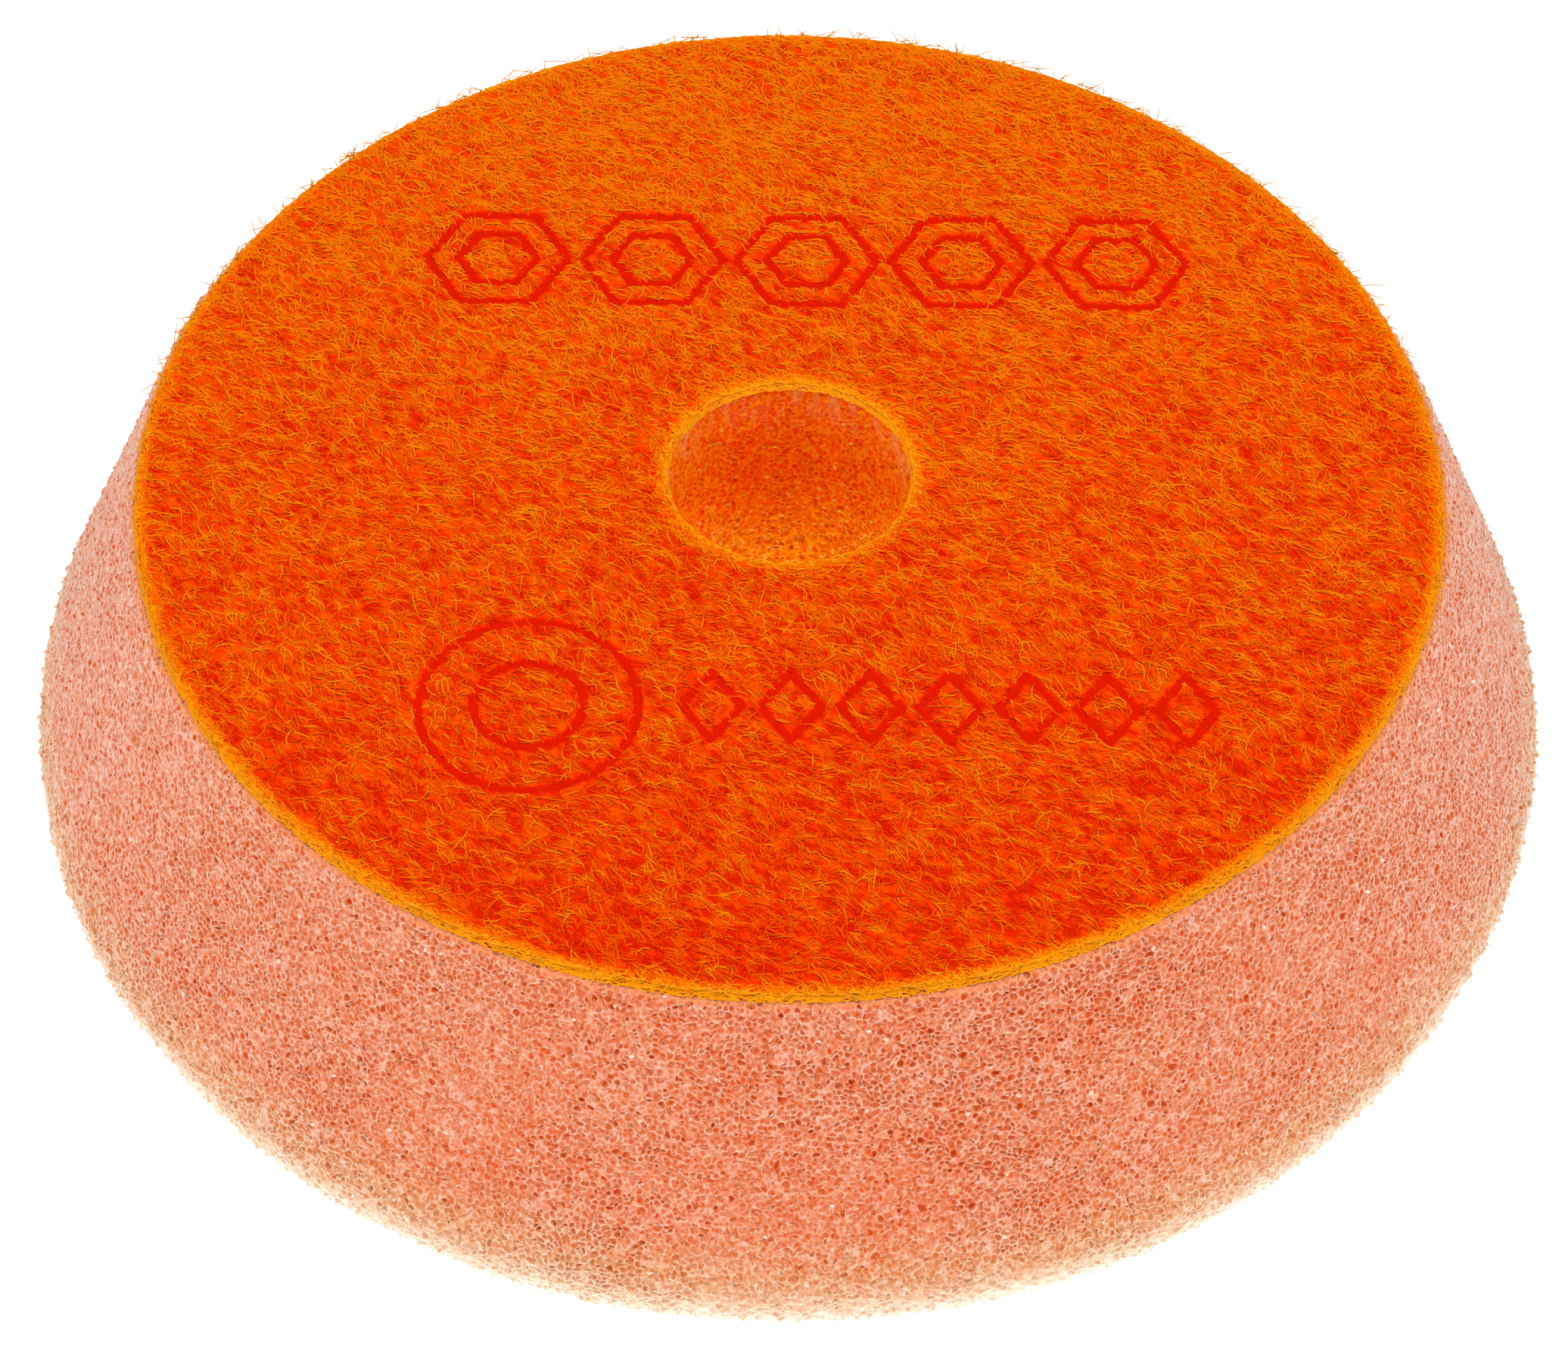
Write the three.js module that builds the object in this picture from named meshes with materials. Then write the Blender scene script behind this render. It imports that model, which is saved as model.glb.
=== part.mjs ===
// A round hook-and-loop polishing pad for a car polisher, lying on its working face.
//
// Millimetres, +Z up. The origin is on the pad's axis, in the plane of the working face.
// The pad is a laminate. From the working face up it is a cone-sided foam body, a film of
// hot-melt adhesive, a knitted backing and the brushed loop pile that a backing plate grips.
// A central hole runs through all four layers.

import * as THREE from 'three';

// Overall sizes
const TOTAL_THICKNESS = 25;
const BACKING_DIAMETER = 84;
const HOLE_DIAMETER = 16;

// Foam body
const WIDEST_DIAMETER = 101;
const WIDEST_HEIGHT = 4.2;
const EDGE_ROUNDING = 3.5;
const SHOULDER_DIAMETER = 85.2;
const SHOULDER_ROUNDING = 0.4;

// Layers of the backing, and the gap left between neighbouring solids
const FILM_THICKNESS = 0.1;
const KNIT_THICKNESS = 0.15;
const PILE_THICKNESS = 0.55;
const PILE_EDGE_ROUNDING = 0.3;
const LAYER_GAP = 0.05;

// Fineness of the round shapes
const SIDES = 96;
const CURVE_DIVISIONS = 3;

// Heights of each layer's underside and top, worked out from the top down
const pileTop = TOTAL_THICKNESS;
const pileBase = pileTop - PILE_THICKNESS;
const knitTop = pileBase - LAYER_GAP;
const knitBase = knitTop - KNIT_THICKNESS;
const filmTop = knitBase - LAYER_GAP;
const filmBase = filmTop - FILM_THICKNESS;
const foamTop = filmBase - LAYER_GAP;

const holeRadius = HOLE_DIAMETER / 2;
const backingRadius = BACKING_DIAMETER / 2;

const foamOrange = new THREE.MeshStandardMaterial({ color: 0xe98f66, roughness: 0.95, metalness: 0 });
const glueClear = new THREE.MeshStandardMaterial({ color: 0xe8c9a4, roughness: 0.45, metalness: 0 });
const knitOrange = new THREE.MeshStandardMaterial({ color: 0xd8560f, roughness: 0.9, metalness: 0 });
const pileOrange = new THREE.MeshStandardMaterial({ color: 0xee5a08, roughness: 0.95, metalness: 0 });

// Spins an outline of (radius, height) points about the Z axis. The outline closes on itself.
function spun(name, outline, material) {
  const points = outline.getPoints(CURVE_DIVISIONS);
  points.push(points[0].clone());
  const geometry = new THREE.LatheGeometry(points, SIDES);
  geometry.rotateX(Math.PI / 2);
  const mesh = new THREE.Mesh(geometry, material);
  mesh.name = name;
  return mesh;
}

// The angle round the widest edge at which its arc runs straight on into the cone
function coneAngle(centreRadius, shoulderRadius) {
  const across = shoulderRadius - centreRadius;
  const up = foamTop - WIDEST_HEIGHT;
  const reach = Math.hypot(across, up);
  return Math.atan2(up, across) - Math.acos(EDGE_ROUNDING / reach);
}

// Flat working face, a full round edge, a straight cone and a softly broken shoulder
function foamBody() {
  const shoulderRadius = SHOULDER_DIAMETER / 2;
  const faceRadius = WIDEST_DIAMETER / 2 - EDGE_ROUNDING;
  const angle = coneAngle(faceRadius, shoulderRadius);
  const rounding = { r: SHOULDER_ROUNDING * Math.sin(angle), z: SHOULDER_ROUNDING * Math.cos(angle) };

  const outline = new THREE.Path();
  outline.moveTo(holeRadius, 0);
  outline.lineTo(faceRadius, 0);
  outline.absellipse(faceRadius, WIDEST_HEIGHT, EDGE_ROUNDING, WIDEST_HEIGHT, -Math.PI / 2, 0, false);
  outline.absarc(faceRadius, WIDEST_HEIGHT, EDGE_ROUNDING, 0, angle, false);
  outline.lineTo(shoulderRadius + rounding.r, foamTop - rounding.z);
  outline.quadraticCurveTo(shoulderRadius, foamTop, shoulderRadius - SHOULDER_ROUNDING, foamTop);
  outline.lineTo(holeRadius, foamTop);
  return spun('foam_body', outline, foamOrange);
}

// A flat ring the size of the backing
function flatLayer(name, base, top, material) {
  const outline = new THREE.Path();
  outline.moveTo(holeRadius, base);
  outline.lineTo(backingRadius, base);
  outline.lineTo(backingRadius, top);
  outline.lineTo(holeRadius, top);
  return spun(name, outline, material);
}

// The pile is cut through at the rim and at the hole, where its loops slump and round the corner
function loopPile() {
  const corner = PILE_EDGE_ROUNDING;
  const outline = new THREE.Path();
  outline.moveTo(holeRadius, pileBase);
  outline.lineTo(backingRadius, pileBase);
  outline.lineTo(backingRadius, pileTop - corner);
  outline.absarc(backingRadius - corner, pileTop - corner, corner, 0, Math.PI / 2, false);
  outline.lineTo(holeRadius + corner, pileTop);
  outline.absarc(holeRadius + corner, pileTop - corner, corner, Math.PI / 2, Math.PI, false);
  return spun('loop_pile', outline, pileOrange);
}

const pad = new THREE.Group();
pad.name = 'polishing_pad';
pad.add(foamBody());
pad.add(flatLayer('adhesive_film', filmBase, filmTop, glueClear));
pad.add(flatLayer('backing_knit', knitBase, knitTop, knitOrange));
pad.add(loopPile());

export default pad;
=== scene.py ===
import math

import bpy
import numpy as np
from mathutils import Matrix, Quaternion, Vector
from mathutils.geometry import delaunay_2d_cdt


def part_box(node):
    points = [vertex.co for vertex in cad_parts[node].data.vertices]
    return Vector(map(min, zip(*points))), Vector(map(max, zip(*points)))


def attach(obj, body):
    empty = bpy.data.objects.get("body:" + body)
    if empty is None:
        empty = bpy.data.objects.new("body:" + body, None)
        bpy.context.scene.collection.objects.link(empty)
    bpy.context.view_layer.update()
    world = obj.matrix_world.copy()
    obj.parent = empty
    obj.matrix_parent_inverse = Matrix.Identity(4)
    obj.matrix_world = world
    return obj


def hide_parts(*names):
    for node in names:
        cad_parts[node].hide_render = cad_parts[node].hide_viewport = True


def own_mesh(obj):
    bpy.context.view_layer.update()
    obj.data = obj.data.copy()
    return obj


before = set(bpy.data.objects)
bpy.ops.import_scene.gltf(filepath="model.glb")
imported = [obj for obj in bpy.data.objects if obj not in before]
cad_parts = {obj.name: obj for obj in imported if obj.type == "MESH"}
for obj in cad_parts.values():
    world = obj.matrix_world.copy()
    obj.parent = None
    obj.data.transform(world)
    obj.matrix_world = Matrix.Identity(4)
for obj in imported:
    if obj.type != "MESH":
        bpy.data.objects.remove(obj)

MM = 0.001
TURN = 2 * math.pi
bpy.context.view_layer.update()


# ---------------------------------------------------------------- the frame's own sizes, in mm

def ring_points(node):
    """Radius and height of every vertex of a CAD node."""
    co = np.array([v.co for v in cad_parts[node].data.vertices]) / MM
    return np.hypot(co[:, 0], co[:, 1]), co[:, 2]


foam_radii, foam_heights = ring_points("foam_body")
HOLE_R = foam_radii.min()
WIDEST_R = foam_radii.max()
WIDEST_Z = foam_heights[foam_radii.argmax()]
FACE_R = foam_radii[foam_heights < 0.01].max()
FOAM_TOP = foam_heights.max()
FOAM_TOP_R = foam_radii[foam_heights > FOAM_TOP - 0.01].max()

knit_low, _ = (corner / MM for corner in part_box("backing_knit"))
pile_low, pile_high = (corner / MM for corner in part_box("loop_pile"))
BACKING_R = pile_high.x
PILE_TOP = pile_high.z


# ---------------------------------------------------------------- small helpers

def linear(red, green, blue):
    """An sRGB colour, 0 to 255, as the linear colour that the shaders take."""
    def one(c):
        c /= 255
        return c / 12.92 if c <= 0.04045 else ((c + 0.055) / 1.055) ** 2.4
    return one(red), one(green), one(blue), 1.0


def smoothstep(low, high, x):
    t = np.clip((x - low) / (high - low), 0, 1)
    return t * t * (3 - 2 * t)


def add_mesh(name, points, faces, materials, smooth=True, slots=None, normals=None):
    """A mesh object from points in mm. faces is an array of triangles or of quads."""
    sides = faces.shape[1]
    mesh = bpy.data.meshes.new(name)
    mesh.vertices.add(len(points))
    mesh.vertices.foreach_set("co", (np.asarray(points) * MM).astype(np.float32).ravel())
    mesh.loops.add(faces.size)
    mesh.loops.foreach_set("vertex_index", faces.astype(np.int32).ravel())
    mesh.polygons.add(len(faces))
    mesh.polygons.foreach_set("loop_start", np.arange(0, faces.size, sides, dtype=np.int32))
    mesh.polygons.foreach_set("use_smooth", np.full(len(faces), smooth))
    if slots is not None:
        mesh.polygons.foreach_set("material_index", slots.astype(np.int32))
    mesh.update(calc_edges=True)
    mesh.validate()
    if normals is not None:
        mesh.normals_split_custom_set_from_vertices(normals.astype(np.float32))
    for material in materials:
        mesh.materials.append(material)
    obj = bpy.data.objects.new(name, mesh)
    bpy.context.scene.collection.objects.link(obj)
    return obj


NOISE_GRID = 256
NOISE_OFFSET = (97.3, 61.7)      # keeps the grid's corner off the pad's axis


def value_noise(x, y, size, seed):
    """Smooth noise from 0 to 1 over the plane, with features about size mm wide."""
    grid = np.random.default_rng(seed).random((NOISE_GRID, NOISE_GRID))
    gx, gy = np.asarray(x) / size + NOISE_OFFSET[0], np.asarray(y) / size + NOISE_OFFSET[1]
    ix, iy = np.floor(gx).astype(int), np.floor(gy).astype(int)
    fx, fy = gx - ix, gy - iy
    fx, fy = fx * fx * (3 - 2 * fx), fy * fy * (3 - 2 * fy)
    ix, iy = ix % NOISE_GRID, iy % NOISE_GRID
    jx, jy = (ix + 1) % NOISE_GRID, (iy + 1) % NOISE_GRID
    low = grid[ix, iy] * (1 - fx) + grid[jx, iy] * fx
    high = grid[ix, jy] * (1 - fx) + grid[jx, jy] * fx
    return low * (1 - fy) + high * fy


class Shader:
    """A node material built up from its Principled shader.

    A keyword names an input, with _ for each space. _0, _1 and so on are inputs by number."""

    def __init__(self, name, **inputs):
        self.material = bpy.data.materials.new(name)
        self.material.use_nodes = True
        self.nodes = self.material.node_tree.nodes
        self.bsdf = self.nodes["Principled BSDF"]
        for key, value in inputs.items():
            self.bsdf.inputs[key.replace("_", " ")].default_value = value

    def node(self, kind, settings=None, **inputs):
        made = self.nodes.new("ShaderNode" + kind)
        for key, value in (settings or {}).items():
            setattr(made, key, value)
        for key, value in inputs.items():
            socket = made.inputs[int(key[1:]) if key[1:].isdigit() else key.replace("_", " ")]
            if isinstance(value, bpy.types.NodeSocket):
                self.link(value, socket)
            else:
                socket.default_value = value
        return made

    def link(self, source, target):
        self.material.node_tree.links.new(source, target)

    def ramp(self, fac, stops):
        made = self.node("ValToRGB", Fac=fac)
        elements = made.color_ramp.elements
        while len(elements) < len(stops):
            elements.new(0.5)
        for element, (place, colour) in zip(elements, stops):
            element.position = place
            element.color = colour
        return made.outputs["Color"]

    def object_place(self):
        return self.node("TexCoord").outputs["Object"]

    def attribute(self, name):
        return self.node("Attribute", {"attribute_name": name}).outputs["Fac"]

    def noise(self, place, scale, detail):
        return self.node("TexNoise", Vector=place, Scale=scale, Detail=detail).outputs["Fac"]

    def fade(self, value, start, end, first=0.0, last=1.0, smooth=False):
        """first up to start, last from end on, and a straight or a smooth run between them."""
        made = self.node("MapRange", {"interpolation_type": "SMOOTHSTEP" if smooth else "LINEAR"},
                         Value=value, From_Min=start, From_Max=end, To_Min=first, To_Max=last)
        return made.outputs[0]

    def maths(self, operation, *values):
        inputs = {f"_{k}": value for k, value in enumerate(values)}
        return self.node("Math", {"operation": operation}, **inputs).outputs[0]

    def stretched(self, place, factors):
        return self.node("VectorMath", {"operation": "MULTIPLY"}, _0=place, _1=factors).outputs[0]

    def distance(self, place):
        """How far a place is from the origin."""
        return self.node("VectorMath", {"operation": "LENGTH"}, _0=place).outputs["Value"]

    def mix(self, factor, first, second):
        """The first colour where factor is 0, the second where it is 1."""
        return self.node("Mix", {"data_type": "RGBA"}, Factor=factor, A=first, B=second).outputs["Result"]

    def bump(self, height, strength, distance, invert=False):
        made = self.node("Bump", {"invert": invert}, Strength=strength, Distance=distance, Height=height)
        self.link(made.outputs[0], self.bsdf.inputs["Normal"])


# ---------------------------------------------------------------- camera

CAMERA_PLACE = Vector((0, -202.7, 241.2))
CAMERA_AIM = Vector((-0.25, -7.0, 12.5))
CAMERA_ROLL = math.radians(0.53)

camera_data = bpy.data.cameras.new("camera")
camera_data.sensor_width = 36
camera_data.lens = 105.4
camera_data.clip_start = 0.005
camera = bpy.data.objects.new("camera", camera_data)
camera.rotation_mode = "QUATERNION"
camera.location = CAMERA_PLACE * MM
facing = (CAMERA_AIM - CAMERA_PLACE).to_track_quat("-Z", "Y")
camera.rotation_quaternion = facing @ Quaternion((0, 0, 1), CAMERA_ROLL)
bpy.context.scene.collection.objects.link(camera)
bpy.context.scene.camera = camera


# ---------------------------------------------------------------- floor and light

TABLE_GLOW = 1.0
PANEL_GLOW = 2.0         # the light panel under the pad
PANEL_EDGE = 1.14        # where it ends, in the pad's radii
TABLE_HALF = 1500
TABLE_DROP = 0.15        # keeps the table clear of the foam's own skin


def make_floor():
    """A white table that glows, most of all under the pad, so that it lights the foam from below."""
    shader = Shader("white_table", Base_Color=(0.35, 0.35, 0.35, 1), Roughness=0.9)
    shader.bsdf.inputs["Emission Color"].default_value = (1, 1, 1, 1)
    away = shader.distance(shader.object_place())
    glow = shader.fade(away, WIDEST_R * MM, WIDEST_R * PANEL_EDGE * MM, PANEL_GLOW, TABLE_GLOW, smooth=True)
    shader.link(glow, shader.bsdf.inputs["Emission Strength"])
    corners = np.array([(x * TABLE_HALF, y * TABLE_HALF, -TABLE_DROP)
                        for x, y in ((-1, -1), (1, -1), (1, 1), (-1, 1))])
    floor = add_mesh("table", corners, np.array([(0, 1, 2, 3)]), [shader.material], smooth=False)


SKY_LIGHT = 0.55
LAMPS = (
    ("left", (-230, -40, 400), 220, 0.8),
    ("right", (230, -40, 400), 220, 0.8),
    ("front", (0, -380, 120), 200, 0.40),
)


def make_lights():
    scene = bpy.context.scene
    scene.view_settings.view_transform = "Standard"
    world = bpy.data.worlds.new("studio")
    world.use_nodes = True
    background = world.node_tree.nodes["Background"]
    background.inputs["Color"].default_value = (1, 1, 1, 1)
    # the camera sees a white studio, and the object is lit by a softer one
    path = world.node_tree.nodes.new("ShaderNodeLightPath")
    level = world.node_tree.nodes.new("ShaderNodeMapRange")
    level.inputs["To Min"].default_value = SKY_LIGHT
    level.inputs["To Max"].default_value = 1.0
    world.node_tree.links.new(path.outputs["Is Camera Ray"], level.inputs["Value"])
    world.node_tree.links.new(level.outputs[0], background.inputs["Strength"])
    scene.world = world
    for name, place, size, power in LAMPS:
        data = bpy.data.lights.new(name, "AREA")
        data.size = size * MM
        data.energy = power
        lamp = bpy.data.objects.new(name, data)
        lamp.location = Vector(place) * MM
        lamp.rotation_mode = "QUATERNION"
        lamp.rotation_quaternion = (-Vector(place)).to_track_quat("-Z", "Y")
        scene.collection.objects.link(lamp)


# ---------------------------------------------------------------- foam

SHOULDER_ROUNDING = 0.4
SIDE_PITCH = 0.42        # width of a cell on the cut side
FACE_PITCH = 0.70        # on the working face
HOLE_PITCH = 0.45        # on the wall of the hole
HIDDEN_PITCH = 1.6       # under the backing, where nothing shows
CELL_JITTER = 0.66
MERGED_SHARE = 0.07      # cells left out, so that their neighbours are bigger
CELL_DEPTH = (0.12, 0.36)    # a cell's depth, in its own widths
DEEP_SHARE = 0.05        # cells cut open to their full depth
DEEP_DEPTH = (0.4, 0.65)
SKINNED_SHARE = 0.20     # cells that still have a skin over them
SKINNED_DEPTH = 0.3      # their depth, as a share of what it would be
STRUT_LIFT = (-0.08, 0.05)   # how far a cut strut stands off the outline
TORN_SHARE = 0.14        # struts that were torn, not cut, and stand out
TORN_LIFT = (0.05, 0.2)
LOW_TORN_LIFT = (0, 0.14)    # and more so on the round lower edge
WOBBLE = 0.25            # the cut itself wanders by this much
WOBBLE_SIZE = 9
RING_SIZE = 0.66         # the ring part of the way down a cell's pit, as a share of its rim
RING_DEPTH = 0.75        # and of its depth
HOLE_WALL = 0.6          # how far out from the hole's radius its wall reaches
FOAM_SHEEN = 0.7


def arc(centre_r, centre_z, radius_r, radius_z, start, end, count):
    a = np.radians(np.linspace(start, end, count))
    return np.stack([centre_r + radius_r * np.cos(a), centre_z + radius_z * np.sin(a)], 1)


def foam_outline():
    """The foam's section as (radius, height) points, from the hole round by the face and the side."""
    rounding = WIDEST_R - FACE_R
    shoulder = FOAM_TOP_R + SHOULDER_ROUNDING
    across, up = shoulder - FACE_R, FOAM_TOP - WIDEST_Z
    cone = math.atan2(up, across) - math.acos(rounding / math.hypot(across, up))
    edge = math.degrees(cone)
    soft = SHOULDER_ROUNDING
    parts = [
        arc(HOLE_R + 0.5, 0.5, 0.5, 0.5, 180, 270, 6),
        [(FACE_R, 0)],
        arc(FACE_R, WIDEST_Z, rounding, WIDEST_Z, -90, 0, 24)[1:],
        arc(FACE_R, WIDEST_Z, rounding, rounding, 0, edge, 10)[1:],
        arc(shoulder - soft, FOAM_TOP - soft, soft, soft, edge, 90, 8),
        arc(HOLE_R + 0.3, FOAM_TOP - 0.3, 0.3, 0.3, 90, 180, 5),
    ]
    return np.concatenate(parts)


class Section:
    """A closed outline spun about the axis, with its arc length and its conformal length."""

    def __init__(self, outline, step=0.05):
        closed = np.vstack([outline, outline[:1]])
        lengths = np.hypot(*np.diff(closed, axis=0).T)
        along = np.concatenate([[0], np.cumsum(lengths)])
        self.total = along[-1]
        self.s = np.linspace(0, self.total, int(self.total / step))
        self.r = np.interp(self.s, along, closed[:, 0])
        self.z = np.interp(self.s, along, closed[:, 1])
        mid = (self.r[1:] + self.r[:-1]) / 2
        self.tau = np.concatenate([[0], np.cumsum(np.diff(self.s) / mid)])
        dr, dz = np.gradient(self.r, self.s), np.gradient(self.z, self.s)
        size = np.hypot(dr, dz)
        self.nr, self.nz = dz / size, -dr / size

    def at(self, values, s):
        return np.interp(s % self.total, self.s, values)

    def place(self, turn, s, lift):
        """Points at that turn and arc length, lifted off the surface by lift."""
        r = self.at(self.r, s) + self.at(self.nr, s) * lift
        z = self.at(self.z, s) + self.at(self.nz, s) * lift
        return np.stack([r * np.cos(turn), r * np.sin(turn), z], 1)


def cell_centres(section, pitch_at, rng):
    """Jittered rows of cell centres all round the section, as turns and arc lengths."""
    rows, s = [], 0.0
    while s < section.total:
        rows.append(s)
        s += 0.866 * pitch_at(s)
    rows = np.array(rows) * section.total / s
    turns, lengths = [], []
    for s in rows:
        pitch = pitch_at(s)
        count = max(24, round(TURN * section.at(section.r, s) / pitch))
        spread = rng.uniform(-CELL_JITTER, CELL_JITTER, (2, count))
        turns.append((np.arange(count) + rng.random() + spread[0]) * TURN / count % TURN)
        lengths.append((s + spread[1] * 0.866 * pitch) % section.total)
    turns, lengths = np.concatenate(turns), np.concatenate(lengths)
    kept = rng.random(len(turns)) > MERGED_SHARE
    return turns[kept], lengths[kept]


def cell_net(section, turn, s):
    """The Voronoi-like net round the centres: each cell's corners, in order round the cell.

    Turn and conformal length make a flat map without distortion, which repeats both ways. The
    map's margins are repeated so that the net closes on itself."""
    tau_total = section.tau[-1]
    margin = 0.5
    repeats = (
        (0, TURN, (TURN, 0, 0)),
        (1, tau_total, (0, tau_total, section.total)),
    )
    tau = section.at(section.tau, s)
    ids = np.arange(len(turn))
    sets = [(turn, tau, s, ids)]
    for axis, period, shifts in repeats:
        columns = [np.concatenate(column) for column in zip(*sets)]
        key = columns[axis]
        for near, sign in ((key < margin, 1), (key > period - margin, -1)):
            moved = [column[near] + sign * shift for column, shift in zip(columns, shifts)]
            sets.append((*moved, columns[3][near]))
    t, u, v, i = (np.concatenate(column) for column in zip(*sets))
    flat = [Vector(p) for p in np.stack([t, u], 1).tolist()]
    found = delaunay_2d_cdt(flat, [], [], 0, 1e-9)
    triangles = np.array(found[2])
    origin = np.array([o[0] for o in found[3]])
    triangles = origin[triangles]

    middle_t, middle_v = t[triangles].mean(1), v[triangles].mean(1)
    middle_u = u[triangles].mean(1)
    keys = np.sort(i[triangles], axis=1)
    _, first, corner_id = np.unique(keys, axis=0, return_index=True, return_inverse=True)
    corner_id = corner_id.ravel()

    owner = triangles.ravel()
    which = np.repeat(np.arange(len(triangles)), 3)
    own = owner < len(turn)
    owner, which = owner[own], which[own]
    around = np.arctan2(middle_u[which] - u[owner], middle_t[which] - t[owner])
    order = np.lexsort((around, owner))
    owner, which = owner[order], which[order]
    return middle_t[first], middle_v[first], owner, corner_id[which]


def make_foam():
    """Open-cell foam: the cut surface is a net of struts with a pit in each cell."""
    rng = np.random.default_rng(11)
    section = Section(foam_outline())
    face_end = section.s[(section.z < 0.3) & (section.r > FACE_R)].max()
    side_end = section.s[(section.r > FOAM_TOP_R - 0.6) & (section.z > 1)].max()
    hole_start = section.s[(section.z > FOAM_TOP - 0.2) & (section.r < HOLE_R + 0.4)].min()
    keys, pitches = zip(
        (0, HOLE_PITCH),
        (2, FACE_PITCH),
        (face_end - 2, FACE_PITCH),
        (face_end, SIDE_PITCH),
        (side_end, SIDE_PITCH),
        (side_end + 4, HIDDEN_PITCH),
        (hole_start - 6, HIDDEN_PITCH),
        (hole_start, HOLE_PITCH),
        (section.total, HOLE_PITCH),
    )

    def pitch_at(s):
        return float(np.interp(s, keys, pitches))

    turn, s = cell_centres(section, pitch_at, rng)
    corner_turn, corner_s, owner, corner = cell_net(section, turn, s)

    pitch = np.interp(s, keys, pitches)
    deep = rng.random(len(s)) < DEEP_SHARE
    depth = pitch * np.where(deep, rng.uniform(*DEEP_DEPTH, len(s)), rng.uniform(*CELL_DEPTH, len(s)))
    skinned = rng.random(len(s)) < SKINNED_SHARE
    depth[skinned] *= SKINNED_DEPTH
    depth[pitch > 1] = 0
    rim_lift = rng.uniform(*STRUT_LIFT, len(corner_s))
    corner_z = section.at(section.z, corner_s)
    torn = rng.random(len(corner_s)) < TORN_SHARE
    rim_lift[torn] += rng.uniform(*TORN_LIFT, torn.sum())
    low = torn & (corner_z < 1.5 * WIDEST_Z)
    rim_lift[low] += rng.uniform(*LOW_TORN_LIFT, low.sum())
    flat = (corner_z < 0.05) | (corner_z > FOAM_TOP - 0.05)
    rim_lift[flat] = 0
    across, along = np.cos(corner_turn) * 50, np.sin(corner_turn) * 50 + corner_s
    wobble = value_noise(across, along, WOBBLE_SIZE, 5) - 0.5
    rim_lift[~flat] += WOBBLE * wobble[~flat]

    rims = section.place(corner_turn, corner_s, rim_lift)
    centres = section.place(turn, s, -depth)
    following = np.empty_like(corner)
    following[:-1] = corner[1:]
    starts = np.flatnonzero(np.r_[True, owner[1:] != owner[:-1]])
    ends = np.r_[starts[1:], len(owner)] - 1
    following[ends] = corner[starts]
    # a ring part of the way down each pit gives it steep walls under thin struts
    ring = len(rims) + np.arange(len(corner))
    ring_next = np.empty_like(ring)
    ring_next[:-1] = ring[1:]
    ring_next[ends] = ring[starts]
    surface = section.place(turn, s, 0)
    inward = centres - surface
    from_surface = (rims[corner] - surface[owner]) * RING_SIZE + inward[owner] * RING_DEPTH
    rings = surface[owner] + from_surface
    middle = len(rims) + len(corner) + owner

    points = np.vstack([rims, rings, centres])
    faces = np.concatenate([
        np.stack([corner, following, ring_next], 1),
        np.stack([corner, ring_next, ring], 1),
        np.stack([ring, ring_next, middle], 1),
    ])
    in_hole = np.hypot(points[:, 0], points[:, 1])[faces].mean(1) < HOLE_R + HOLE_WALL
    materials = [foam_material("open_cell_foam", FOAM_SHEEN), foam_material("hole_wall_foam", 0.0)]
    foam = add_mesh("foam", points, faces, materials, slots=in_hole)
    # pit_shade is how deep a point lies in its cell, which the material paints as shade; the rims get a
    # random tone
    open_share = np.minimum(1, depth / (0.8 * pitch))
    open_share[skinned] -= 0.12
    rim_tone = 0.42 * rng.random(len(rims)) ** 2
    pit_shade = np.concatenate([rim_tone, 0.2 + 0.55 * open_share[owner], 0.2 + 0.8 * open_share])
    attribute = foam.data.attributes.new("pit_shade", "FLOAT", "POINT")
    attribute.data.foreach_set("value", pit_shade.astype(np.float32))
    print("foam cells", len(turn), "triangles", len(faces))
    return foam


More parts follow.
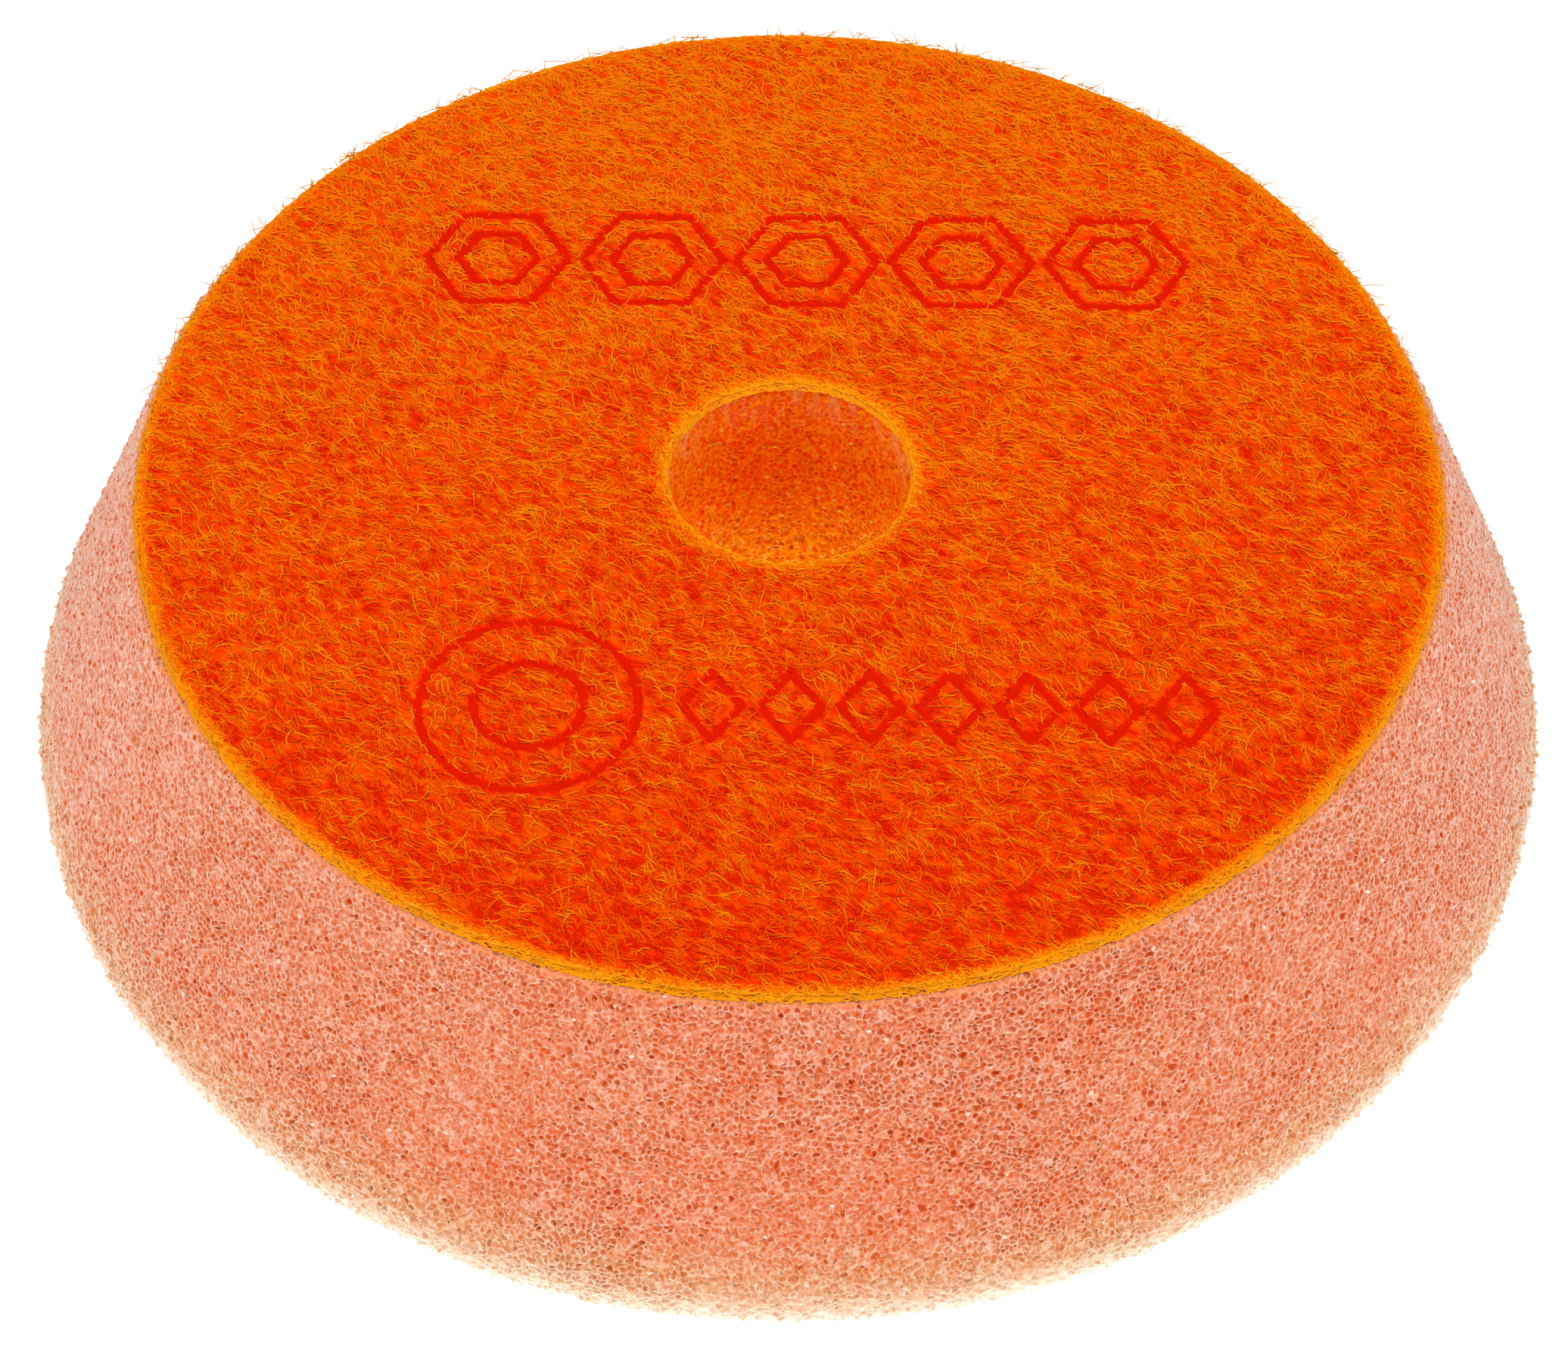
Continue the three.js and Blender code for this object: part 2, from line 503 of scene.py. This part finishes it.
def foam_material(name, sheen):
    """Pale struts round deeper orange cells, the deeper orange being painted shade down each pit. The wall
    of the hole is painted a brighter orange, for light that bounces round inside it, and has no sheen.
    Elsewhere the sheen stands for the struts' pale tips, which are all that shows at a slant."""
    shader = Shader(name, Roughness=1.0, Specular_IOR_Level=0.0,
                    Sheen_Weight=sheen, Sheen_Roughness=0.4, Sheen_Tint=linear(255, 238, 236),
                    Subsurface_Weight=1.0, Subsurface_Radius=(1.0, 0.8, 0.7), Subsurface_Scale=0.0003)
    place = shader.object_place()
    height = shader.node("SeparateXYZ", _0=place).outputs["Z"]
    away = shader.distance(shader.stretched(place, (1, 1, 0)))

    def below_top(depth):
        return (FOAM_TOP - depth) * MM

    # how deep in a cell a point is: the mesh's own cells, with finer ones and specks over them; the ramps
    # below paint it as shade, pale on the strut rims, deeper orange down each pit
    fine = shader.node("TexVoronoi", {"feature": "DISTANCE_TO_EDGE"}, Vector=place, Scale=2600.0,
                       Randomness=1.0)
    wall = shader.fade(fine.outputs["Distance"], 0.02, 0.30)
    depth = shader.maths("MULTIPLY_ADD", wall, 0.4, shader.attribute("pit_shade"))
    depth = shader.maths("ADD", depth, shader.fade(shader.noise(place, 160.0, 3.0), 0.0, 1.0, -0.16, 0.16))
    depth = shader.maths("ADD", depth, shader.fade(shader.noise(place, 2600.0, 1.0), 0.25, 0.75, -0.2, 0.2))
    side = shader.ramp(depth, [
        (0.05, linear(226, 172, 150)),
        (0.35, linear(216, 136, 101)),
        (0.75, linear(212, 97, 42)),
        (1.0, linear(210, 72, 12)),
    ])
    lower = shader.ramp(depth, [
        (0.05, linear(226, 204, 174)),
        (0.4, linear(214, 170, 122)),
        (1.0, linear(208, 128, 58)),
    ])
    hole = shader.ramp(depth, [
        (0.15, linear(255, 154, 10)),
        (0.4, linear(255, 112, 0)),
        (0.75, linear(253, 77, 0)),
    ])
    hole_lit_low = shader.ramp(depth, [
        (0.15, linear(248, 184, 20)),
        (0.4, linear(242, 154, 0)),
        (0.75, linear(234, 114, 0)),
    ])

    # painted light: the hole is painted yellower lower down, where the glowing table lights it, and painted
    # sheen runs down from its top in pale lines
    hole = shader.mix(shader.fade(height, below_top(7), below_top(15), smooth=True), hole, hole_lit_low)
    top_sheen = shader.fade(height, below_top(5), below_top(0), 0.0, 0.62, smooth=True)
    streaks = shader.fade(shader.noise(shader.stretched(place, (1, 1, 0.35)), 1500.0, 2.0), 0.46, 0.66)
    hole = shader.mix(shader.maths("MULTIPLY", top_sheen, streaks), hole, linear(255, 158, 92))
    inside = shader.fade(away, (HOLE_R + 0.3) * MM, (HOLE_R + 1.2) * MM, 1.0, 0.0, smooth=True)
    colour = shader.mix(inside, side, hole)

    # painted light: the round lower edge is painted paler, for the table's light that comes through it
    # where it is thin
    round_edge = shader.fade(away, (FACE_R - 3) * MM, (FACE_R + 0.5) * MM, smooth=True)
    thin = shader.fade(height, WIDEST_Z * 2.45 * MM, WIDEST_Z * 0.5 * MM, 0.0, 0.9, smooth=True)
    colour = shader.mix(shader.maths("MULTIPLY", thin, round_edge), colour, lower)
    foot_glow = shader.fade(height, WIDEST_Z * 1.5 * MM, WIDEST_Z * 0.6 * MM, 0.0, 0.45, smooth=True)
    colour = shader.mix(shader.maths("MULTIPLY", foot_glow, round_edge), colour, linear(236, 221, 206))

    # painted light: the ledge beside the backing is painted a warmer orange, for the orange light that the
    # loops throw into the shade there
    ledge = shader.fade(height, below_top(0.35), below_top(0.05), 0.0, 0.9, smooth=True)
    colour = shader.mix(ledge, colour, linear(234, 148, 100))

    # painted highlights: a few cut struts are painted pale as glints where they would catch the light, most
    # of them low on the wall of the hole
    low = shader.maths("MULTIPLY", shader.fade(height, below_top(8), below_top(15)), inside)
    unlit_share = shader.fade(low, 0.0, 1.0, 0.985, 0.25)
    glint = shader.node("TexVoronoi", Vector=shader.stretched(place, (1, 1, 1.6)), Scale=2000.0)
    chance = shader.node("SeparateColor", Color=glint.outputs["Color"]).outputs["Red"]
    near = shader.fade(glint.outputs["Distance"], 0.40, 0.20)
    lit = shader.maths("MULTIPLY", shader.maths("GREATER_THAN", chance, unlit_share), near)
    glint_colour = shader.mix(inside, linear(250, 220, 204), linear(255, 208, 96))
    colour = shader.mix(lit, colour, glint_colour)

    shader.link(colour, shader.bsdf.inputs["Base Color"])
    shader.bump(wall, 0.3, 0.0001, invert=True)
    return shader.material


# ---------------------------------------------------------------- the marks pressed into the pile

MARK_HALF_WIDTH = 0.23
HEXAGONS = [(1 + 10.4 * i, 19.3) for i in range(-2, 3)]
HEXAGON_APOTHEMS = (4.1, 2.3)
RING_CENTRE = (-16, -20)
RING_RADII = (6.8, 3.4)
DIAMONDS = [(10 + 4.9 * i, -19.9) for i in range(-3, 4)]
DIAMOND_HALVES = (1.9, 2.7)


def mark_distance(x, y):
    """Distance from the nearest pressed line: a row of hexagons, two rings and a row of diamonds."""
    nearest = np.full(np.shape(x), 99.0)
    for cx, cy in HEXAGONS:
        u, v = np.abs(x - cx), np.abs(y - cy)
        inside = np.maximum(u * math.cos(math.pi / 6) + v * 0.5, v)
        for apothem in HEXAGON_APOTHEMS:
            nearest = np.minimum(nearest, np.abs(inside - apothem))
    from_centre = np.hypot(x - RING_CENTRE[0], y - RING_CENTRE[1])
    for radius in RING_RADII:
        nearest = np.minimum(nearest, np.abs(from_centre - radius))
    across, tall = DIAMOND_HALVES
    for cx, cy in DIAMONDS:
        inside = np.abs(x - cx) / across + np.abs(y - cy) / tall - 1
        nearest = np.minimum(nearest, np.abs(inside) * across * tall / math.hypot(across, tall))
    return nearest


def pressed(x, y):
    """1 in the middle of a pressed line, 0 clear of it."""
    return 1 - smoothstep(MARK_HALF_WIDTH * 0.6, MARK_HALF_WIDTH * 1.6, mark_distance(x, y))


# ---------------------------------------------------------------- the backing's layers

NAP = math.radians(-38)      # the way the brushed pile lies, in the plane of the backing


def tufts(x, y):
    """How high the pile stands, 0 to 1: tufts drawn out along the nap."""
    along = x * math.cos(NAP) + y * math.sin(NAP)
    across = -x * math.sin(NAP) + y * math.cos(NAP)
    coarse = value_noise(along / 1.9, across, 0.38, 21)
    fine = value_noise(along / 1.6, across, 0.22, 22)
    wide = value_noise(x, y, 4.5, 23)
    return np.clip(0.62 * coarse + 0.36 * fine + 0.08 * wide - 0.02, 0, 1)


ROWS_BELOW = 5           # few, because nothing shows there
CLOTH_ROWS = 146         # fine enough for the pressed lines, in fewer than 200,000 triangles
CUT_WANDER_SIZE = 1.2


def ring_sheet(name, inner, outer, bottom, top, material, rows=12, columns=640, wall=3):
    """A closed flat ring. inner and outer are functions of the turn.

    bottom and top are heights, or functions of x and y."""
    turn = np.arange(columns) * TURN / columns

    def sheet(height, share):
        radius = inner(turn) + (outer(turn) - inner(turn)) * share[:, None]
        x, y = radius * np.cos(turn), radius * np.sin(turn)
        z = height(x, y) if callable(height) else np.full(x.shape, float(height))
        return np.stack([x, y, z], 2)

    above, below = sheet(top, np.linspace(0, 1, rows)), sheet(bottom, np.linspace(1, 0, ROWS_BELOW))
    steps = np.linspace(0, 1, wall + 1)[1:-1, None, None]
    outside = above[-1:] * (1 - steps) + below[:1] * steps
    inside = below[-1:] * (1 - steps) + above[:1] * steps
    grid = np.concatenate([above, outside, below, inside])
    count = len(grid)
    row, column = np.meshgrid(np.arange(count), np.arange(columns), indexing="ij")
    next_row, next_column = (row + 1) % count, (column + 1) % columns
    faces = np.stack([row * columns + column, next_row * columns + column,
                      next_row * columns + next_column, row * columns + next_column], 2).reshape(-1, 4)
    return add_mesh(name, grid.reshape(-1, 3), faces, [material])


def edge_of(radius, depth, seed):
    """A cut edge near that radius, as a function of the turn. It wanders in and out by depth in all."""
    def at(turn):
        wander = value_noise(np.cos(turn) * 40, np.sin(turn) * 40, CUT_WANDER_SIZE, seed) - 0.5
        return radius + depth * wander
    return at


def cloth_top(x, y):
    """The height of the pile's bed, which slumps at its two cut edges."""
    r = np.hypot(x, y)
    rim = np.minimum(BACKING_R - r, r - HOLE_R)
    stands = 0.06 + 0.24 * tufts(x, y) * (1 - pressed(x, y))
    return pile_low.z + 0.06 + stands * smoothstep(-0.1, 0.6, rim)


def make_backing():
    film = ring_sheet("glue_film", edge_of(HOLE_R + 0.05, 0.2, 31), edge_of(BACKING_R - 0.05, 0.25, 32),
                      FOAM_TOP - 0.02, knit_low.z + 0.01, film_material())
    knit = ring_sheet("knit_ground", edge_of(HOLE_R, 0.15, 33), edge_of(BACKING_R, 0.15, 34),
                      knit_low.z + 0.02, pile_low.z - 0.01, knit_material())

    cloth = ring_sheet("pile_cloth", edge_of(HOLE_R, 0.15, 35), edge_of(BACKING_R - 0.05, 0.2, 36),
                       pile_low.z, cloth_top, cloth_material(), rows=CLOTH_ROWS)
    places = np.empty(len(cloth.data.vertices) * 3, np.float32)
    cloth.data.vertices.foreach_get("co", places)
    x, y, _ = places.reshape(-1, 3).T / MM
    for name, values in (("pressed", pressed(x, y)), ("tuft", tufts(x, y))):
        attribute = cloth.data.attributes.new(name, "FLOAT", "POINT")
        attribute.data.foreach_set("value", values.astype(np.float32))
    return film, knit, cloth


def film_material():
    shader = Shader("hot_melt_film", Roughness=0.5)
    cloud = shader.noise(shader.object_place(), 900.0, 3.0)
    colour = shader.ramp(cloud, [(0.3, linear(250, 140, 40)), (0.7, linear(255, 170, 80))])
    shader.link(colour, shader.bsdf.inputs["Base Color"])
    return shader.material


def knit_material():
    shader = Shader("knit_yarn", Roughness=1.0, Specular_IOR_Level=0.0)
    rib = shader.node("TexVoronoi", Vector=shader.object_place(), Scale=2600.0).outputs["Distance"]
    colour = shader.ramp(rib, [(0.0, linear(255, 164, 24)), (0.8, linear(250, 126, 8))])
    shader.link(colour, shader.bsdf.inputs["Base Color"])
    shader.bump(rib, 0.5, 0.0001)
    return shader.material


def cloth_material():
    """The dense bed under the standing loops.

    It is red where it is pressed and orange in the tufts, and painted red in the gaps between the tufts, as
    the shade there."""
    shader = Shader("pile_bed", Roughness=1.0, Specular_IOR_Level=0.0)
    turned = shader.node("Mapping", Vector=shader.object_place(), Rotation=(0, 0, -NAP),
                         Scale=(1600.0, 5200.0, 3000.0))
    streak = shader.node("TexNoise", Vector=turned.outputs[0], Scale=1.0, Detail=4.0, Roughness=0.6)
    streak = streak.outputs["Fac"]
    tone = shader.maths("MULTIPLY_ADD", streak, 1.3, shader.attribute("tuft"))
    tone = shader.maths("SUBTRACT", tone, 0.65)
    tone = shader.maths("SUBTRACT", tone, shader.attribute("pressed"))
    colour = shader.ramp(tone, [
        (0.0, linear(208, 24, 0)),
        (0.2, linear(224, 34, 0)),
        (0.5, linear(232, 54, 0)),
        (0.9, linear(234, 86, 1)),
    ])
    shader.link(colour, shader.bsdf.inputs["Base Color"])
    shader.bump(streak, 0.4, 0.0002)
    return shader.material


# ---------------------------------------------------------------- the pile's loops

FIBRE_RADIUS = 0.050
FIBRE_STEPS = 5          # points along a fibre
FIBRES_PER_PIECE = 7400
FIBRE_COUNT = 76000
RIM_COUNT = 5000         # in each of the two pieces round the rim
HOLE_COUNT = 1900
STRAY_COUNT = 700
FIBRE_LENGTHS = (0.7, 2.0)
FIBRE_BEND = 1.3         # how much a fibre's heading turns along it, as a standard deviation
NAP_SPREAD = 0.40        # how far fibres lie from the nap, as a standard deviation
SWIRL = 0.7              # how far the nap itself wanders, from place to place
SWIRL_SIZE = 5
LOOSE_SHARE = 0.30       # fibres that lie any way, not along the nap
CROSSING_SHARE = 0.3     # fibres that still cross a pressed line
RIM_LEAN = 0.8           # how far out a loop at the foot of a cut edge faces, against up
STRAY_TAPER = (0.8, 0.8, 0.75, 0.65, 0.5)
# light passes through a fibre, so this share of its shading comes from the pile as a whole
FIBRE_GLOW = 0.93

# the order of fibre_materials
DEEP, RED, MID, LIGHT, RIM, LOOSE = range(6)
TOP_TONES = (0.42, 0.56, 0.80)   # where a fibre on the top turns from deep to red, mid and light
RIM_TONES = (0.12, 0.42)         # where one at the rim turns from mid to light and rim


# tones of the one orange fibre: the pile's stretches take them for random tone, for the pressed marks, and
# as painted shade and light
def fibre_materials():
    made = []
    for name, colour in (
        ("fibre_deep", linear(221, 32, 0)),
        ("fibre_red", linear(230, 57, 0)),
        ("fibre_mid", linear(234, 87, 1)),
        ("fibre_light", linear(239, 122, 5)),
        ("fibre_rim", linear(255, 154, 14)),
        ("fibre_loose", linear(236, 148, 30)),
    ):
        made.append(Shader(name, Base_Color=colour, Roughness=1.0, Specular_IOR_Level=0.0).material)
    return made


def tubes(lines, radii):
    """Closed three-sided tubes along lines (count, steps, 3).

    Returns points, the way out at each point, faces, and each face's fibre and step."""
    count, steps, _ = lines.shape
    tangent = np.gradient(lines, axis=1)
    tangent /= np.linalg.norm(tangent, axis=2, keepdims=True) + 1e-9
    side = np.cross(tangent, (0.0, 0.0, 1.0))
    side /= np.linalg.norm(side, axis=2, keepdims=True) + 1e-9
    up = np.cross(side, tangent)
    ways = np.stack([math.cos(a) * side + math.sin(a) * up
                     for a in (math.pi / 2, math.pi * 7 / 6, math.pi * 11 / 6)], 2)
    points = lines[:, :, None] + radii[:, :, None, None] * ways

    pattern, at_step = [], []
    for step in range(steps - 1):
        for corner in range(3):
            a, b = step * 3 + corner, step * 3 + (corner + 1) % 3
            pattern += [(a, b + 3, b), (a, a + 3, b + 3)]
            at_step += [step, step]
    last = (steps - 1) * 3
    pattern += [(0, 1, 2), (last, last + 2, last + 1)]
    at_step += [0, steps - 2]
    faces = (np.arange(count) * steps * 3)[:, None, None] + np.array(pattern)[None]
    fibre = np.repeat(np.arange(count), len(pattern))
    return points.reshape(-1, 3), ways.reshape(-1, 3), faces.reshape(-1, 3), fibre, np.tile(at_step, count)


def fibre_piece(name, lines, radii, slots, facing, materials):
    """facing is the way the pile as a whole faces, one direction or one for each fibre."""
    points, ways, faces, fibre, step = tubes(lines, radii)
    whole = np.broadcast_to(facing, (len(lines), 3))
    whole = np.repeat(whole, lines.shape[1] * 3, axis=0)
    normals = whole * FIBRE_GLOW + ways * (1 - FIBRE_GLOW)
    normals /= np.linalg.norm(normals, axis=1, keepdims=True)
    return add_mesh(name, points, faces, materials, slots=slots[fibre, step], normals=normals)


def curl(x, y, heading, length, bend):
    """Flat curved lines centred on (x, y), whose heading turns by bend along the length."""
    t = np.linspace(0, 1, FIBRE_STEPS)
    angle = heading[:, None] + bend[:, None] * (t - 0.5)
    middle = (angle[:, 1:] + angle[:, :-1]) / 2
    stride = length[:, None] / (FIBRE_STEPS - 1)
    px = np.cumsum(np.cos(middle) * stride, 1)
    py = np.cumsum(np.sin(middle) * stride, 1)
    px, py = (np.concatenate([np.zeros((len(x), 1)), p], 1) for p in (px, py))
    return px - px.mean(1, keepdims=True) + x[:, None], py - py.mean(1, keepdims=True) + y[:, None]


def between(values):
    """The mean of each stretch's two ends."""
    return (values[:, 1:] + values[:, :-1]) / 2


def top_fibres(rng):
    """The brushed loops over the flat of the backing."""
    r = np.sqrt(rng.uniform(HOLE_R ** 2, BACKING_R ** 2, FIBRE_COUNT))
    a = rng.uniform(0, TURN, FIBRE_COUNT)
    x, y = r * np.cos(a), r * np.sin(a)
    loose = rng.random(FIBRE_COUNT) < LOOSE_SHARE
    swirl = (value_noise(x, y, SWIRL_SIZE, 41) - 0.5) * SWIRL
    heading = NAP + swirl + np.where(loose, rng.uniform(-math.pi, math.pi, FIBRE_COUNT),
                                     rng.normal(0, NAP_SPREAD, FIBRE_COUNT))
    length = rng.uniform(*FIBRE_LENGTHS, FIBRE_COUNT)
    bend = rng.normal(0, FIBRE_BEND, FIBRE_COUNT)
    px, py = curl(x, y, heading, length, bend)

    # loops that would cross a pressed line are mostly flattened out of sight
    push = pressed(px, py)
    kept = (push.max(1) < 0.5) | (rng.random(FIBRE_COUNT) < CROSSING_SHARE)
    px, py, push = px[kept], py[kept], push[kept]
    count = len(px)

    t = np.linspace(0, 1, FIBRE_STEPS)
    height = tufts(px, py)
    stand = rng.random((count, 1))
    arch = (4 * t * (1 - t)) ** 0.7
    level = 0.11 + (0.08 + 0.28 * height) * (0.3 + 0.7 * stand) * (0.35 + 0.65 * arch)
    level *= 1 - 0.8 * push
    radius = np.hypot(px, py)
    held = np.clip(radius, HOLE_R - 0.03, BACKING_R + 0.03) / np.maximum(radius, 1e-6)
    px, py, radius = px * held, py * held, radius * held
    rim = np.minimum(BACKING_R - radius, 0.8 * (radius - HOLE_R))
    pz = pile_low.z + 0.06 + level - 0.16 * (1 - smoothstep(-0.1, 0.8, rim))
    lines = np.stack([px, py, pz], 2)

    # painted shade and light: the tallest parts are painted palest and the low ones deeper red, as the
    # shade in the pile, and the pile is painted paler towards the back, for the way light falls on the nap
    tone = height * 0.75 + stand * 0.35 + 0.1 * arch + rng.normal(0, 0.12, (count, 1))
    tone += 0.17 * py / BACKING_R + 0.04 * np.maximum(py / BACKING_R, 0)
    slots = np.digitize(between(tone), TOP_TONES)
    slots = np.where(between(push) > 0.5, DEEP, slots)
    near_rim = between(rim) + rng.normal(0, 0.18, (count, FIBRE_STEPS - 1))
    slots = np.where((near_rim < 0.8) & (slots < LIGHT), slots + 1, slots)
    slots = np.where(near_rim < 0.28, RIM, slots)
    radii = np.full(px.shape, FIBRE_RADIUS) * rng.uniform(0.7, 1.2, (count, 1))
    radii[:, [0, -1]] *= 0.5
    return lines, radii, slots


# The section that the loops at a cut edge lie on: how far down it, how far out, and the height
RIM_DOWN = (0.0, 0.4, 1.0)
RIM_OUT = (-0.60, -0.08, 0.13)
RIM_HEIGHT = (PILE_TOP - 0.31, PILE_TOP - 0.36, FOAM_TOP)


def rim_fibres(rng, count, radius, outward):
    """Loops over a cut edge. They lie on the top's corner and hang down the cut side to the foam."""
    a = rng.uniform(0, TURN, count)
    length = rng.uniform(0.5, 1.5, count)
    around = rng.choice([-1.0, 1.0], count) * rng.uniform(0.5, 1.0, count)
    t = np.linspace(0, 1, FIBRE_STEPS)
    turn = a[:, None] + (around * length)[:, None] * (t - 0.5) / radius
    slope = rng.normal(0, 0.28, count)[:, None] * (t - 0.5)
    wave = rng.normal(0, 0.07, count)[:, None] * np.sin(TURN * t)
    down = np.clip(rng.uniform(0, 1, count)[:, None] + slope + wave, 0, 1)
    bulge = rng.uniform(0.0, 0.07, count)[:, None] * (4 * t * (1 - t))
    r = radius + outward * (np.interp(down, RIM_DOWN, RIM_OUT) + bulge * down)
    pz = np.interp(down, RIM_DOWN, RIM_HEIGHT) + bulge * (1 - down)
    lines = np.stack([r * np.cos(turn), r * np.sin(turn), pz], 2)
    # painted light: each loop is painted palest low down the cut side, for the glow of the thin fibres lit
    # at the edge
    tone = between(down) + rng.normal(0, 0.16, (count, FIBRE_STEPS - 1))
    slots = np.choose(np.digitize(tone, RIM_TONES), (MID, LIGHT, RIM))
    radii = np.full(r.shape, FIBRE_RADIUS) * rng.uniform(0.7, 1.1, (count, 1))
    radii[:, [0, -1]] *= 0.5
    lean = outward * RIM_LEAN * down.mean(1)
    facing = np.stack([lean * np.cos(a), lean * np.sin(a), np.ones(count)], 1)
    return lines, radii, slots, facing / np.linalg.norm(facing, axis=1, keepdims=True)


def stray_fibres(rng, count):
    """Loose ends that stand out past the rim."""
    a = rng.uniform(0, TURN, count)
    t = np.linspace(0, 1, FIBRE_STEPS)
    reach = rng.gamma(1.5, 0.15, count)[:, None]
    rise = rng.normal(0.12, 0.2, count)[:, None]
    around = rng.normal(0, 0.5, count)[:, None]
    r = BACKING_R - 0.05 + (0.15 + reach) * t
    turn = a[:, None] + around * (t + 0.5 * t * t) / BACKING_R
    pz = PILE_TOP - rng.uniform(0.15, 0.4, count)[:, None] + rise * t ** 1.5
    lines = np.stack([r * np.cos(turn), r * np.sin(turn), np.minimum(pz, PILE_TOP + 0.3)], 2)
    slots = np.full((count, FIBRE_STEPS - 1), LOOSE)
    radii = np.full(r.shape, FIBRE_RADIUS) * np.array(STRAY_TAPER)
    facing = np.stack([np.cos(a) * 0.3, np.sin(a) * 0.3, np.ones(count)], 1)
    return lines, radii, slots, facing / np.linalg.norm(facing, axis=1, keepdims=True)


def make_pile():
    rng = np.random.default_rng(3)
    materials = fibre_materials()
    made = []
    lines, radii, slots = top_fibres(rng)
    for k, start in enumerate(range(0, len(lines), FIBRES_PER_PIECE)):
        part = slice(start, start + FIBRES_PER_PIECE)
        name = f"pile_loops_{k + 1}"
        made.append(fibre_piece(name, lines[part], radii[part], slots[part], (0, 0, 1), materials))
    for k in (1, 2):
        rim = rim_fibres(rng, RIM_COUNT, BACKING_R, 1)
        made.append(fibre_piece(f"rim_loops_{k}", *rim, materials))
    made.append(fibre_piece("stray_loops", *stray_fibres(rng, STRAY_COUNT), materials))
    hole = rim_fibres(rng, HOLE_COUNT, HOLE_R, -1)
    made.append(fibre_piece("hole_loops", *hole, materials))
    return made


# ---------------------------------------------------------------- the object

make_floor()
make_lights()

foam = make_foam()
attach(foam, "foam")
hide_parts("foam_body")
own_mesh(foam)

film, knit, cloth = make_backing()
loops = make_pile()
for piece, node, slot in ((film, "adhesive_film", "adhesive"), (knit, "backing_knit", "knit"),
                          (cloth, "loop_pile", "pile")):
    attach(piece, "backing")
    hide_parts(node)
for piece in loops:
    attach(piece, "backing")
